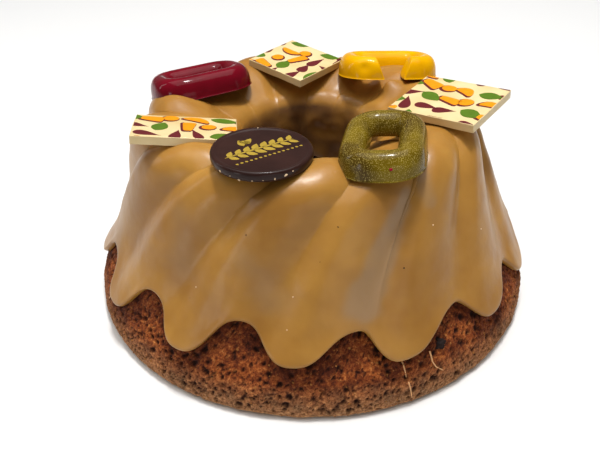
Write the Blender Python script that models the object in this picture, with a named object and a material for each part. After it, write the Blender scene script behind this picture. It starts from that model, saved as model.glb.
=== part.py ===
"""A swirled bundt cake: a fluted sponge ring with a plain foot, a poured glaze that hangs in
round lobes, and seven chocolate decorations along the crest. Metres, +Z up, front towards -Y."""

import math

import bmesh
import bpy
from mathutils import Matrix, Vector

MM = 0.001

# Sponge section, from the outer foot over the crest and down into the hole:
# radius mm, height mm, twist of the flutes in degrees, flute depth mm.
SECTION = (
    (88.6, 0.0, -3.0, 0.0),
    (89.8, 1.4, -3.0, 0.0),
    (90.0, 4.0, -2.6, 0.0),
    (89.3, 8.5, -2.0, 0.0),
    (87.6, 13.5, -1.0, 0.3),
    (85.2, 18.5, 0.0, 1.0),
    (82.2, 24.0, 1.4, 1.9),
    (79.0, 30.0, 3.0, 2.6),
    (75.6, 37.0, 5.0, 3.2),
    (72.3, 44.5, 7.2, 3.6),
    (69.0, 52.0, 10.2, 3.9),
    (65.8, 59.2, 13.8, 4.1),
    (63.3, 65.3, 17.8, 4.2),
    (61.0, 69.8, 21.6, 4.2),
    (57.6, 73.2, 25.5, 4.0),
    (52.5, 74.8, 29.5, 3.4),
    (46.8, 73.9, 33.0, 2.7),
    (41.2, 71.4, 36.0, 2.0),
    (36.2, 68.0, 38.5, 1.4),
    (31.6, 64.6, 41.0, 0.9),
    (28.9, 60.4, 43.0, 0.5),
    (28.2, 51.0, 44.5, 0.2),
    (27.8, 37.0, 46.0, 0.0),
    (26.8, 15.0, 47.0, 0.0),
    (26.0, 0.0, 47.0, 0.0),
)
VALLEY_SHARPNESS = 2.4
# Over 1, the valley between two ridges lies nearer the second one, whose flank is steeper.
VALLEY_SKEW = 1.5
# The shoulder is fuller than SECTION: all round, on one side, its height and spread in mm, and
# the angle of that side in degrees. The back of the crest is lower by BACK_DROP of its height.
FULLNESS = (0.6, 3.4, 68.0, 17.0, -112.0)
BACK_DROP = 0.022

# One entry per flute, counted from the one at the front towards +X: its ridge angle in degrees,
# the angle and station along SECTION of its glaze lobe's tip, the angle and station of the arch
# after that lobe, and the station where the glaze ends inside the hole.
FLUTES = (
    (-4.3, -5.0, 5.46, 10.2, 7.17, 21.7),
    (20.0, 20.6, 5.19, 38.0, 6.92, 22.0),
    (46.4, 49.4, 5.03, 62.8, 6.60, 21.6),
    (72.6, 71.5, 4.75, 84.9, 6.95, 21.9),
    (98.6, 97.8, 5.05, 111.6, 7.05, 22.1),
    (124.1, 125.0, 5.25, 136.4, 6.85, 21.8),
    (149.8, 149.2, 4.85, 163.6, 7.10, 21.6),
    (175.9, 176.4, 5.15, 188.0, 7.00, 21.9),
    (201.3, 200.5, 4.80, 214.9, 6.95, 22.1),
    (227.2, 227.9, 5.20, 239.2, 7.10, 21.7),
    (252.7, 252.0, 5.00, 265.2, 6.95, 21.5),
    (278.6, 277.6, 4.92, 289.8, 7.02, 22.0),
    (304.6, 300.5, 4.56, 315.6, 7.20, 22.1),
    (329.2, 327.1, 5.01, 342.4, 7.48, 21.8),
)
LOBE_FULLNESS = (0.14, -0.49)

GLAZE_THICKNESS = 2.5 * MM
GLAZE_VALLEY_FILL = 0.9 * MM
GLAZE_GAP = 0.3 * MM
GLAZE_LIP = 1.1 * MM

# Stations round one flute and along the section.
ROUND_FLUTE = (0.0, 0.1, 0.23, 0.37, 0.5, 0.63, 0.77, 0.9)
FOOT_STATIONS = (0.0, 1.0, 2.3, 3.6)
GLAZE_STATIONS = (0.0, 0.07, 0.18, 0.3, 0.42, 0.53, 0.63, 0.73, 0.81, 0.88, 0.94, 1.0)
HOLE_STATIONS = (22.6, 23.2, 24.0)

LINK_LENGTH = 40.6 * MM
LINK_WIDTH = 28.6 * MM
LINK_HEIGHT = 8.8 * MM
LINK_BAR = 9.9 * MM
LINK_CORNER = 12.0 * MM
# The gap of the broken link at its foot, and how far each end leans away for its height.
LINK_BREAK = 7.3 * MM
BREAK_LEAN = 0.4

DISC_RADIUS = 16.8 * MM
DISC_THICKNESS = 3.6 * MM
DISC_BEVEL = 0.9 * MM
PLAQUE_THICKNESS = 3.0 * MM
TOPPING_GAP = 0.35 * MM

# Middle of the foot x, y, z in mm, turn about Z and tilt about X and Y in degrees.
PLACES = {
    "disc": (-15.8, -45.4, 76.9, 0.0, -1.2, 1.1),
    "plaque_left": (-44.3, -23.0, 74.4, 5.4, -7.2, 5.6),
    "plaque_right": (52.0, -6.0, 76.4, -39.1, 1.7, -7.6),
    "plaque_back": (-5.8, 42.6, 74.0, 49.0, 4.0, 2.0),
    "link_green": (24.5, -39.6, 74.9, 79.8, -2.0, -4.0),
    "link_red": (-44.4, 22.6, 71.8, 28.7, -9.8, -6.1),
    "link_yellow": (32.8, 34.2, 72.9, 6.0, -13.0, 1.2),
}
PLAQUE_SIDES = {
    "plaque_left": (36.2 * MM, 22.6 * MM),
    "plaque_right": (35.3 * MM, 29.1 * MM),
    "plaque_back": (28.0 * MM, 29.5 * MM),
}

COLOURS = {
    "sponge": ((0.23, 0.105, 0.045), 0.9),
    "glaze": ((0.38, 0.22, 0.085), 0.3),
    "disc": ((0.03, 0.014, 0.012), 0.3),
    "plaque_left": ((0.83, 0.74, 0.46), 0.35),
    "plaque_right": ((0.83, 0.74, 0.46), 0.35),
    "plaque_back": ((0.83, 0.74, 0.46), 0.35),
    "link_green": ((0.19, 0.17, 0.03), 0.3),
    "link_red": ((0.22, 0.005, 0.022), 0.2),
    "link_yellow": ((0.8, 0.4, 0.005), 0.25),
}


def clear_scene():
    for obj in list(bpy.data.objects):
        bpy.data.objects.remove(obj, do_unlink=True)


def on_section(station):
    """Radius, height, twist and depth at a station, on a curve through the rows of SECTION."""
    station = min(max(station, 0.0), len(SECTION) - 1.0)
    i = min(int(station), len(SECTION) - 2)
    t = station - i
    rows = [SECTION[min(max(i + k, 0), len(SECTION) - 1)] for k in (-1, 0, 1, 2)]
    weights = (
        (-t + 2 * t * t - t * t * t) / 2,
        (2 - 5 * t * t + 3 * t * t * t) / 2,
        (t + 4 * t * t - 3 * t * t * t) / 2,
        (t * t * t - t * t) / 2,
    )
    return [sum(w * row[k] for w, row in zip(weights, rows)) for k in range(4)]


def flute_angle(turn):
    """Angle in degrees of a place round the cake, counted in flutes."""
    k = math.floor(turn)
    rest = turn - k
    first = FLUTES[k % len(FLUTES)][0] + 360.0 * (k // len(FLUTES))
    after = FLUTES[(k + 1) % len(FLUTES)][0] + 360.0 * ((k + 1) // len(FLUTES))
    return first + (after - first) * rest


def valley_weight(turn):
    return abs(math.sin(math.pi * (turn % 1.0) ** VALLEY_SKEW)) ** VALLEY_SHARPNESS


def sponge_point(turn, station):
    radius, height, twist, depth = on_section(station)
    before, after = on_section(station - 0.02), on_section(station + 0.02)
    along = Vector((after[0] - before[0], after[1] - before[1])).normalized()
    depth *= valley_weight(turn)
    angle = math.radians(flute_angle(turn) + twist)
    more, extra, middle, spread, side = FULLNESS
    more += extra * max(0.0, math.cos(angle - math.radians(side))) ** 2
    more *= math.exp(-(((height - middle) / spread) ** 2)) * (radius / 62.0) ** 3
    radius += more - along.y * depth
    height = max(height + along.x * depth, 0.0)
    height *= 1.0 - BACK_DROP * (0.5 - 0.5 * math.cos(angle))
    return Vector((radius * math.sin(angle), -radius * math.cos(angle), height)) * MM


def sponge_frame(turn, station):
    """A point of the sponge's skin, its outward normal and the way down to its foot."""
    step = 0.01
    point = sponge_point(turn, station)
    around = sponge_point(turn + step, station) - sponge_point(turn - step, station)
    along = sponge_point(turn, station + step) - sponge_point(turn, station - step)
    return point, around.cross(along).normalized(), -along.normalized()


def lobed_edge(angle):
    """The station of the glaze's lower edge at an angle in degrees: round tips, round arches."""
    marks = []
    for _, tip, low, arch, high, _ in FLUTES:
        marks += [(tip, low), (arch, high)]
    first = marks[0][0]
    angle = first + (angle - first) % 360.0
    marks.append((first + 360.0, marks[0][1]))
    i = max(k for k in range(len(marks) - 1) if marks[k][0] <= angle)
    (start, here), (stop, there) = marks[i], marks[i + 1]
    swing = 0.5 + 0.5 * math.cos(math.pi * (angle - start) / (stop - start))
    tip, arch = (here, there) if i % 2 == 0 else (there, here)
    if i % 2:
        swing = 1.0 - swing
    full, steep = LOBE_FULLNESS
    swing += swing * (1.0 - swing) * (full + steep * (1.0 - 2.0 * swing))
    return arch + (tip - arch) * swing


def glaze_ends(turn):
    """The stations where the glaze stops on the outside and in the hole."""
    k = math.floor(turn)
    hole, after = FLUTES[k % len(FLUTES)][5], FLUTES[(k + 1) % len(FLUTES)][5]
    blend = 0.5 - 0.5 * math.cos(math.pi * (turn - k))
    edge = 6.0
    # The flutes turn as they rise, so the place of the edge and its angle are found together.
    for _ in range(24):
        edge += 0.6 * (lobed_edge(flute_angle(turn) + on_section(edge)[2]) - edge)
    return edge, hole + (after - hole) * blend


def mesh_object(name, bm):
    bmesh.ops.recalc_face_normals(bm, faces=bm.faces)
    mesh = bpy.data.meshes.new(name)
    bm.to_mesh(mesh)
    bm.free()
    for face in mesh.polygons:
        face.use_smooth = True
    obj = bpy.data.objects.new(name, mesh)
    bpy.context.scene.collection.objects.link(obj)
    if name not in COLOURS:
        return obj
    colour, roughness = COLOURS[name]
    material = bpy.data.materials.new(name)
    material.use_nodes = True
    shader = material.node_tree.nodes["Principled BSDF"]
    shader.inputs["Base Color"].default_value = (*colour, 1.0)
    shader.inputs["Roughness"].default_value = roughness
    mesh.materials.append(material)
    return obj


def skin_rings(name, columns, closed=True, turn_back=1000):
    """A body from columns of points: each column is one closed loop, and the columns go round.
    From turn_back on, a column runs back the way it came, so the fold of each face swaps too."""
    bm = bmesh.new()
    grid = [[bm.verts.new(point) for point in column] for column in columns]
    count = len(columns)
    for i in range(count if closed else count - 1):
        here, after = grid[i], grid[(i + 1) % count]
        for j in range(len(here)):
            k = (j + 1) % len(here)
            # Both triangles by hand, so that skins over one another fold along the same lines.
            if j < turn_back:
                bm.faces.new((here[j], after[j], after[k]))
                bm.faces.new((here[j], after[k], here[k]))
            else:
                bm.faces.new((here[j], after[j], here[k]))
                bm.faces.new((after[j], after[k], here[k]))
    if not closed:
        bm.faces.new(grid[0][::-1])
        bm.faces.new(grid[-1])
    return mesh_object(name, bm)


def turns():
    return [k + part for k in range(len(FLUTES)) for part in ROUND_FLUTE]


def make_sponge():
    columns = []
    for turn in turns():
        edge, hole = glaze_ends(turn)
        stations = list(FOOT_STATIONS)
        stations.append((FOOT_STATIONS[-1] + edge) / 2)
        stations += [edge + (hole - edge) * part for part in GLAZE_STATIONS]
        stations += HOLE_STATIONS
        columns.append([sponge_point(turn, station) for station in stations])
    return skin_rings("sponge", columns)


def make_glaze():
    columns = []
    for turn in turns():
        edge, hole = glaze_ends(turn)
        thickness = GLAZE_THICKNESS + GLAZE_VALLEY_FILL * valley_weight(turn)
        inner, outer = [], []
        for part in GLAZE_STATIONS:
            point, normal, down = sponge_frame(turn, edge + (hole - edge) * part)
            inner.append(point + normal * GLAZE_GAP)
            at_end = part in (GLAZE_STATIONS[0], GLAZE_STATIONS[-1])
            outer.append(point + normal * thickness * (0.86 if at_end else 1.0))
            if part == GLAZE_STATIONS[0]:
                lip = point + normal * (GLAZE_GAP + 0.42 * thickness) + down * GLAZE_LIP
            if part == GLAZE_STATIONS[-1]:
                rim = point + normal * (GLAZE_GAP + 0.42 * thickness) - down * GLAZE_LIP
        columns.append([lip] + outer + [rim] + inner[::-1])
    return skin_rings("glaze", columns, turn_back=len(GLAZE_STATIONS) + 1)


def rounded_path(length, width, corner, per_corner):
    """Points and outward directions on a rounded rectangle, starting in the middle of its front."""
    centres = (
        (length / 2 - corner, corner - width / 2, -90.0),
        (length / 2 - corner, width / 2 - corner, 0.0),
        (corner - length / 2, width / 2 - corner, 90.0),
        (corner - length / 2, corner - width / 2, 180.0),
    )
    path = []
    for x, y, start in centres:
        for step in range(per_corner + 1):
            angle = math.radians(start + 90.0 * step / per_corner)
            out = Vector((math.cos(angle), math.sin(angle), 0.0))
            path.append((Vector((x, y, 0.0)) + out * corner, out))
    return path


def link_columns():
    """Loops of a moulded link: a flat foot, steep sides and a round top, swept round the path."""
    bar, height = LINK_BAR, LINK_HEIGHT
    section = (
        (0.0, 0.0),
        (0.0, 0.3 * height),
        (-0.05 * bar, 0.62 * height),
        (-0.19 * bar, 0.88 * height),
        (-0.42 * bar, height),
        (-0.68 * bar, 0.95 * height),
        (-0.88 * bar, 0.74 * height),
        (-0.97 * bar, 0.4 * height),
        (-bar, 0.0),
    )
    columns = []
    for point, out in rounded_path(LINK_LENGTH, LINK_WIDTH, LINK_CORNER, 6):
        column = []
        for inward, up in section:
            spot = point + out * inward
            if inward < -0.6 * bar:
                spot.x = max(min(spot.x, LINK_LENGTH / 2 + inward), -LINK_LENGTH / 2 - inward)
                spot.y = max(min(spot.y, LINK_WIDTH / 2 + inward), -LINK_WIDTH / 2 - inward)
            column.append(spot + Vector((0.0, 0.0, up)))
        columns.append(column)
    return columns


def make_link(name, broken=False):
    columns = link_columns()
    if not broken:
        return skin_rings(name, columns)
    ends = []
    for side in (-1.0, 1.0):
        model = columns[0] if side > 0 else columns[-1]
        end = []
        for spot in model:
            away = LINK_BREAK / 2 + BREAK_LEAN * spot.z
            end.append(Vector((side * away, spot.y, spot.z)))
        ends.append(end)
    return skin_rings(name, [ends[1]] + columns + [ends[0]], closed=False)


def make_disc(name):
    profile = (
        (DISC_RADIUS - DISC_BEVEL, 0.0),
        (DISC_RADIUS, DISC_BEVEL),
        (DISC_RADIUS, DISC_THICKNESS - DISC_BEVEL),
        (DISC_RADIUS - DISC_BEVEL, DISC_THICKNESS),
    )
    bm = bmesh.new()
    steps = 48
    rings = []
    for radius, height in profile:
        ring = []
        for step in range(steps):
            angle = 2 * math.pi * step / steps
            spot = (radius * math.cos(angle), radius * math.sin(angle), height)
            ring.append(bm.verts.new(spot))
        rings.append(ring)
    for lower, upper in zip(rings, rings[1:]):
        for i in range(steps):
            j = (i + 1) % steps
            bm.faces.new((lower[i], lower[j], upper[j], upper[i]))
    bm.faces.new(rings[0][::-1])
    bm.faces.new(rings[-1])
    return mesh_object(name, bm)


def make_plaque(name):
    bm = bmesh.new()
    bmesh.ops.create_cube(bm, size=1.0)
    bmesh.ops.scale(bm, vec=(*PLAQUE_SIDES[name], PLAQUE_THICKNESS), verts=bm.verts)
    bmesh.ops.translate(bm, vec=(0.0, 0.0, PLAQUE_THICKNESS / 2), verts=bm.verts)
    obj = mesh_object(name, bm)
    for face in obj.data.polygons:
        face.use_smooth = False
    return obj


def make_bed():
    """The cutter: everything under the glaze's skin and a little over it, so that a decoration
    pressed into the glaze ends TOPPING_GAP above it."""
    columns = []
    for turn in turns():
        edge, hole = glaze_ends(turn)
        thickness = GLAZE_THICKNESS + GLAZE_VALLEY_FILL * valley_weight(turn) + TOPPING_GAP
        column = []
        for part in GLAZE_STATIONS:
            point, normal, _ = sponge_frame(turn, edge + (hole - edge) * part)
            column.append(point + normal * thickness)
        columns.append(column)
    bed = skin_rings("bed", columns)
    bed.hide_render = True
    bed.display_type = "WIRE"
    return bed


def press(obj, bed):
    """Tilts and places a decoration, then cuts away what lies in its bed."""
    x, y, z, turn, tilt_x, tilt_y = PLACES[obj.name]
    rotation = Matrix.Rotation(math.radians(tilt_y), 4, "Y")
    rotation @= Matrix.Rotation(math.radians(tilt_x), 4, "X")
    rotation @= Matrix.Rotation(math.radians(turn), 4, "Z")
    obj.data.transform(Matrix.Translation(Vector((x, y, z)) * MM) @ rotation)
    cut = obj.modifiers.new("pressed in", "BOOLEAN")
    cut.operation = "DIFFERENCE"
    cut.solver = "EXACT"
    cut.object = bed


def make_part():
    clear_scene()
    make_sponge()
    make_glaze()
    bed = make_bed()
    toppings = [make_plaque(name) for name in PLAQUE_SIDES]
    toppings.append(make_disc("disc"))
    toppings.append(make_link("link_green"))
    toppings.append(make_link("link_red"))
    toppings.append(make_link("link_yellow", broken=True))
    for topping in toppings:
        press(topping, bed)


make_part()
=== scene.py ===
"""The dressed bundt cake: open crumb, poured caramel glaze and seven chocolate decorations."""

import math
import random

import bmesh
import bpy
from mathutils import Matrix, Vector, noise
from mathutils.bvhtree import BVHTree


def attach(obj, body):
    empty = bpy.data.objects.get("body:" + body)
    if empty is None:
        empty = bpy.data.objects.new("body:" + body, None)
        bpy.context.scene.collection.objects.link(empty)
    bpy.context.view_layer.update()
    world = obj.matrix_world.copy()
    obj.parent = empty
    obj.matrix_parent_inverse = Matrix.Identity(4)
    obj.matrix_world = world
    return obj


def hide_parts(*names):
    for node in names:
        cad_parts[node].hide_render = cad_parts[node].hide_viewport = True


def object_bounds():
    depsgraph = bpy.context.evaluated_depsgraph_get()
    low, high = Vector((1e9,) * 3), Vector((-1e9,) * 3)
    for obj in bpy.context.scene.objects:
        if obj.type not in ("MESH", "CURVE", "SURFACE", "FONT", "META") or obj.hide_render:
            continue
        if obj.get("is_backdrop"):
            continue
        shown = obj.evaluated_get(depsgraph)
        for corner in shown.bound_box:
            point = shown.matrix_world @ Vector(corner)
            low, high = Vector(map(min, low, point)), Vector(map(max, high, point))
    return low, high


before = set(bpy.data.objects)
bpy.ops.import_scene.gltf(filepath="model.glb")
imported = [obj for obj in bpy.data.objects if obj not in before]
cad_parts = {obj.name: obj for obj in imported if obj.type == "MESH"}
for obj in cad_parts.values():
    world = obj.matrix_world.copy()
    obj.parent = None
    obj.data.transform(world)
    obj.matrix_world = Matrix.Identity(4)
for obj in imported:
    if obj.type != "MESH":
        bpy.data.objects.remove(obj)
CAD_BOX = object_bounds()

MM = 0.001

# Sizes, as in the part's source

# Sponge section, from the outer foot over the crest and down into the hole:
# radius mm, height mm, twist of the flutes in degrees, flute depth mm.
SECTION = (
    (88.6, 0.0, -3.0, 0.0),
    (89.8, 1.4, -3.0, 0.0),
    (90.0, 4.0, -2.6, 0.0),
    (89.3, 8.5, -2.0, 0.0),
    (87.6, 13.5, -1.0, 0.3),
    (85.2, 18.5, 0.0, 1.0),
    (82.2, 24.0, 1.4, 1.9),
    (79.0, 30.0, 3.0, 2.6),
    (75.6, 37.0, 5.0, 3.2),
    (72.3, 44.5, 7.2, 3.6),
    (69.0, 52.0, 10.2, 3.9),
    (65.8, 59.2, 13.8, 4.1),
    (63.3, 65.3, 17.8, 4.2),
    (61.0, 69.8, 21.6, 4.2),
    (57.6, 73.2, 25.5, 4.0),
    (52.5, 74.8, 29.5, 3.4),
    (46.8, 73.9, 33.0, 2.7),
    (41.2, 71.4, 36.0, 2.0),
    (36.2, 68.0, 38.5, 1.4),
    (31.6, 64.6, 41.0, 0.9),
    (28.9, 60.4, 43.0, 0.5),
    (28.2, 51.0, 44.5, 0.2),
    (27.8, 37.0, 46.0, 0.0),
    (26.8, 15.0, 47.0, 0.0),
    (26.0, 0.0, 47.0, 0.0),
)
LAST_STATION = len(SECTION) - 1.0
VALLEY_SHARPNESS = 2.4
# Over 1, the valley between two ridges lies nearer the second one, whose flank is steeper.
VALLEY_SKEW = 1.5
FULLNESS = (0.6, 3.4, 68.0, 17.0, -112.0)
BACK_DROP = 0.022

# One entry per flute, counted from the one at the front towards +X: its ridge angle in degrees,
# the angle and station along SECTION of its glaze lobe's tip, the angle and station of the arch
# after that lobe, and the station where the glaze ends inside the hole.
FLUTES = (
    (-4.3, -5.0, 5.46, 10.2, 7.17, 21.7),
    (20.0, 20.6, 5.19, 38.0, 6.92, 22.0),
    (46.4, 49.4, 5.03, 62.8, 6.60, 21.6),
    (72.6, 71.5, 4.75, 84.9, 6.95, 21.9),
    (98.6, 97.8, 5.05, 111.6, 7.05, 22.1),
    (124.1, 125.0, 5.25, 136.4, 6.85, 21.8),
    (149.8, 149.2, 4.85, 163.6, 7.10, 21.6),
    (175.9, 176.4, 5.15, 188.0, 7.00, 21.9),
    (201.3, 200.5, 4.80, 214.9, 6.95, 22.1),
    (227.2, 227.9, 5.20, 239.2, 7.10, 21.7),
    (252.7, 252.0, 5.00, 265.2, 6.95, 21.5),
    (278.6, 277.6, 4.92, 289.8, 7.02, 22.0),
    (304.6, 300.5, 4.56, 315.6, 7.20, 22.1),
    (329.2, 327.1, 5.01, 342.4, 7.48, 21.8),
)
LOBE_FULLNESS = (0.14, -0.49)

GLAZE_THICKNESS = 2.5 * MM
GLAZE_VALLEY_FILL = 0.9 * MM
# Valleys where the glaze ran together and lies thicker, by the flute before them.
FULLER_VALLEYS = {0: 1.5 * MM, 1: 0.3 * MM}
GLAZE_GAP = 0.15 * MM
GLAZE_LIP = 1.2 * MM
PRESSED_IN = 0.5 * MM

LINK_LENGTH = 40.6 * MM
LINK_WIDTH = 28.6 * MM
LINK_HEIGHT = 8.8 * MM
LINK_BAR = 9.9 * MM
LINK_CORNER = 12.0 * MM
# The gap of the broken link at its foot, and how far each end leans away for its height.
LINK_BREAK = 7.3 * MM
BREAK_LEAN = 0.4

DISC_RADIUS = 16.8 * MM
DISC_THICKNESS = 3.6 * MM
# How wide the disc's rim is, and how far its face lies under the rim's top.
DISC_RIM = 2.3 * MM
DISC_SUNK = 0.5 * MM
PLAQUE_THICKNESS = 3.0 * MM

# Middle of the foot x, y, z in mm, turn about Z and tilt about X and Y in degrees.
PLACES = {
    "disc": (-15.8, -45.4, 76.9, 0.0, -1.2, 1.1),
    "plaque_left": (-44.3, -23.0, 74.4, 5.4, -7.2, 5.6),
    "plaque_right": (52.0, -6.0, 76.4, -39.1, 1.7, -7.6),
    "plaque_back": (-5.8, 42.6, 74.0, 49.0, 4.0, 2.0),
    "link_green": (24.5, -39.6, 74.9, 79.8, -2.0, -4.0),
    "link_red": (-44.4, 22.6, 71.8, 28.7, -9.8, -6.1),
    "link_yellow": (32.8, 34.2, 72.9, 6.0, -13.0, 1.2),
}
PLAQUE_SIDES = {
    "plaque_left": (36.2 * MM, 22.6 * MM),
    "plaque_right": (35.3 * MM, 29.1 * MM),
    "plaque_back": (28.0 * MM, 29.5 * MM),
}

# Camera, light and floor

CAMERA_PLACE = Vector((0.0, -0.2359, 0.1805))
CAMERA_TILT = 0.653
CAMERA_ROLL = -0.013
LENS, SENSOR = 39.47, 36.0
SHIFT = (-0.02, 0.059)
PHOTO_WIDTH, PHOTO_HEIGHT = 600.0, 450.0


def make_camera():
    data = bpy.data.cameras.new("camera")
    data.lens = LENS
    data.sensor_fit = "HORIZONTAL"
    data.sensor_width = SENSOR
    data.shift_x, data.shift_y = SHIFT
    data.clip_start = 0.01
    camera = bpy.data.objects.new("camera", data)
    bpy.context.scene.collection.objects.link(camera)
    turn = Matrix.Rotation(math.pi / 2 - CAMERA_TILT, 4, "X")
    turn @= Matrix.Rotation(CAMERA_ROLL, 4, "Z")
    camera.matrix_world = Matrix.Translation(CAMERA_PLACE) @ turn
    bpy.context.scene.camera = camera
    return turn.to_3x3()


# Each soft light: its place, the spot it is aimed at and its two sides in metres, and its watts.
# Those near the floor stand in for windows, which put the streaks on the flutes.
LIGHTS = {
    "key": ((0.03, 0.03, 0.72), (0.0, 0.0, 0.05), (0.12, 0.08), 3.8),
    "overhead": ((-0.02, 0.05, 0.95), (0.0, 0.0, 0.05), (1.2, 1.0), 8.3),
    "left": ((-0.62, 0.1, 0.34), (0.0, 0.0, 0.04), (0.05, 0.4), 0.4),
    "right": ((0.64, -0.24, 0.14), (0.0, 0.0, 0.04), (0.05, 0.26), 0.06),
    "left_front": ((-0.56, -0.5, 0.12), (0.0, 0.0, 0.04), (0.14, 0.26), 0.5),
    "front": ((0.27, -0.72, 0.16), (0.0, 0.0, 0.03), (0.5, 0.24), 0.48),
}
AIR_COLOUR, AIR_STRENGTH = (1.0, 0.985, 0.96, 1.0), 0.14
FLOOR_REACH = 3.0


def soft_light(name, place, aim, size, power):
    data = bpy.data.lights.new(name, "AREA")
    data.shape = "RECTANGLE"
    data.size, data.size_y = size
    data.energy = power
    light = bpy.data.objects.new(name, data)
    bpy.context.scene.collection.objects.link(light)
    place = Vector(place)
    aimed = (Vector(aim) - place).to_track_quat("-Z", "Y").to_matrix().to_4x4()
    light.matrix_world = Matrix.Translation(place) @ aimed


def make_studio():
    world = bpy.data.worlds.new("studio")
    bpy.context.scene.world = world
    world.use_nodes = True
    air = world.node_tree.nodes["Background"].inputs
    air["Color"].default_value = AIR_COLOUR
    air["Strength"].default_value = AIR_STRENGTH
    for name, setting in LIGHTS.items():
        soft_light(name, *setting)
    bm = bmesh.new()
    bmesh.ops.create_grid(bm, x_segments=1, y_segments=1, size=FLOOR_REACH)
    floor = object_of("floor", bm, [FLOOR])
    floor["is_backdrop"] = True


# Materials


def colour(text):
    """A hex colour such as A5743A as linear light, with alpha."""
    parts = [int(text[k : k + 2], 16) / 255.0 for k in (0, 2, 4)]
    linear = [p / 12.92 if p <= 0.04045 else ((p + 0.055) / 1.055) ** 2.4 for p in parts]
    return (*linear, 1.0)


def add(material, kind, inputs=None, ramp=None, **settings):
    """Adds a node. An input is a value, a hex colour or the output of another node, and each
    stop of a ramp is (place, hex)."""
    tree = material.node_tree
    made = tree.nodes.new("ShaderNode" + kind)
    for name, value in settings.items():
        setattr(made, name, value)
    for name, value in (inputs or {}).items():
        socket = made.inputs[name]
        if isinstance(value, bpy.types.NodeSocket):
            tree.links.new(value, socket)
        elif isinstance(value, str):
            socket.default_value = colour(value)
        else:
            socket.default_value = value
    for k, (place, text) in enumerate(ramp or ()):
        stops = made.color_ramp.elements
        stop = stops[k] if k < 2 else stops.new(place)
        stop.position = place
        stop.color = colour(text)
    return made


def toned(material, factor, *stops):
    """A colour picked by a factor; each stop is (place, hex)."""
    return add(material, "ValToRGB", {"Fac": factor}, ramp=stops).outputs["Color"]


def blend(material, factor, first, second, kind="MIX"):
    """Two colours mixed; each is a hex colour or the output of another node."""
    inputs = {"Factor": factor, 6: first, 7: second}
    return add(material, "Mix", inputs, data_type="RGBA", blend_type=kind).outputs[2]


def roughen(material, shader, height, strength, distance):
    """Bump from a node's output; the distance is in metres."""
    bump = add(material, "Bump", {"Height": height, "Strength": strength, "Distance": distance})
    link(material, bump.outputs["Normal"], shader.inputs["Normal"])


def new_material(name):
    material = bpy.data.materials.new(name)
    material.use_nodes = True
    return material, material.node_tree.nodes["Principled BSDF"]


def link(material, output, socket):
    material.node_tree.links.new(output, socket)


def make_floor_paint():
    """Matt paper sweep, nearly white: painted darker round the cake as shade, which also dims its
    reflection and bounce, and white further out.
    """
    m, shader = new_material("matt_paper")
    at = add(m, "TexCoord").outputs["Object"]
    away = add(m, "VectorMath", {0: at}, operation="LENGTH")
    tone = toned(m, away.outputs["Value"], (0.25, "E4E3E1"), (0.75, "FFFFFF"))
    link(m, tone, shader.inputs["Base Color"])
    shader.inputs["Roughness"].default_value = 0.9
    shader.inputs["Specular IOR Level"].default_value = 0.1
    return m


def make_sponge_crumb():
    """Baked spice sponge, torn from its tin: dry, painted dark in the pores as their shade, tan on the
    threads, painted darker just under the glaze's edge as shade, and paler at the foot, which was
    against the tin, partly as painted light against the shade where the foot curves under."""
    m, shader = new_material("baked_sponge_crumb")
    at = add(m, "TexCoord").outputs["Object"]
    names = ("pore", "crust_and_painted_light", "glaze_edge_shade")
    pore, crust_and_painted_light, glaze_edge_shade = (add(m, "Attribute", attribute_name=n).outputs["Fac"] for n in names)
    # Patches of 8 mm, crumb threads of 1 mm and pinholes of 0.9 mm.
    patches = add(m, "TexNoise", {"Vector": at, "Scale": 120.0, "Detail": 4.0, "Roughness": 0.65})
    threads = add(m, "TexNoise", {"Vector": at, "Scale": 900.0, "Detail": 6.0, "Roughness": 0.7})
    holes = add(m, "TexVoronoi", {"Vector": at, "Scale": 1100.0})
    grain = threads.outputs["Fac"]
    dark_to_tan = ((0.3, "4E2514"), (0.7, "E4AE6C"), (0.45, "8E4D26"), (0.58, "B8723C"))
    body = toned(m, grain, *dark_to_tan)
    warm = toned(m, patches.outputs["Fac"], (0.36, "98786A"), (0.66, "FFEACC"), (0.5, "DCBEA4"))
    tinted = blend(m, 1.0, body, warm, "MULTIPLY")
    # The paler foot is partly painted light, against the shade where the foot curves under.
    skin = toned(m, grain, (0.36, "90643E"), (0.66, "E8BC88"))
    footed = blend(m, crust_and_painted_light, tinted, skin)
    # Painted shade on the band just under the glaze's edge.
    shaded_at_glaze_edge = blend(m, glaze_edge_shade, footed, "7E5248", "MULTIPLY")
    # Pores and pinholes are painted near black: painted shade in them.
    span = {"From Min": 0.12, "From Max": 0.3, "To Min": 0.75, "To Max": 0.0}
    pinhole = add(m, "MapRange", {"Value": holes.outputs["Distance"], **span})
    either = add(
        m, "Math", {0: pore, 1: pinhole.outputs["Result"]}, operation="MAXIMUM", use_clamp=True
    )
    pore_shade = blend(m, either.outputs[0], shaded_at_glaze_edge, "2A120A")
    link(m, pore_shade, shader.inputs["Base Color"])
    roughen(m, shader, grain, 1.0, 0.0008)
    shader.inputs["Roughness"].default_value = 0.85
    shader.inputs["Specular IOR Level"].default_value = 0.2
    return m


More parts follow.
